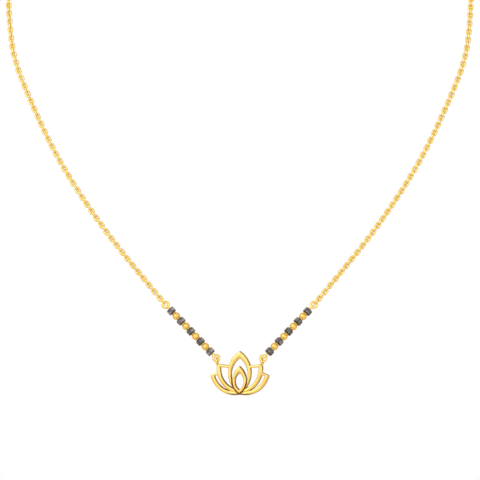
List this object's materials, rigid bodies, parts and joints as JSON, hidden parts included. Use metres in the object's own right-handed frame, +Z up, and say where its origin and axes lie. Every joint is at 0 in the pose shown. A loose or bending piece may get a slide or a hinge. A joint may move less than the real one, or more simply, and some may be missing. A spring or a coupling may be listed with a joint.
{
  "type": "mangalsutra necklace",
  "caption": "Short gold mangalsutra: fine cable chain, two strings of black and gold beads, open lotus pendant hung on rings.",
  "frame": {"origin": "middle of the spring ring clasp at the nape, the point the necklace is held up by when worn", "axes": "+Z up, -Y the wearer's front where the pendant hangs, +X across the neck to the right of a viewer who stands in front"},
  "size_m": [0.1226, 0.0979, 0.1312],
  "materials": {
    "gold": "polished 18 carat yellow gold",
    "black": "faceted black glass, opaque"
  },
  "bodies": {
    "necklace": {"chain_left": "gold", "chain_right": "gold", "clasp": "gold", "clasp_ring": "gold", "bead_wire_left": "gold", "bead_wire_right": "gold", "black_bead_left_1": "black", "black_bead_left_2": "black", "black_bead_left_3": "black", "black_bead_left_4": "black", "black_bead_left_5": "black", "black_bead_right_1": "black", "black_bead_right_2": "black", "black_bead_right_3": "black", "black_bead_right_4": "black", "black_bead_right_5": "black", "gold_bead_left_1": "gold", "gold_bead_left_2": "gold", "gold_bead_left_3": "gold", "gold_bead_left_4": "gold", "gold_bead_right_1": "gold", "gold_bead_right_2": "gold", "gold_bead_right_3": "gold", "gold_bead_right_4": "gold"},
    "pendant": {"lotus_pendant": "gold"}
  },
  "joints": [
    {"name": "pendant_swing", "type": "hinge", "parent": "necklace", "child": "pendant", "pos_m": [0, -0.094, -0.11954], "axis": [0.9781, -0.2079, 0], "range_deg": [-90, 90]}
  ]
}
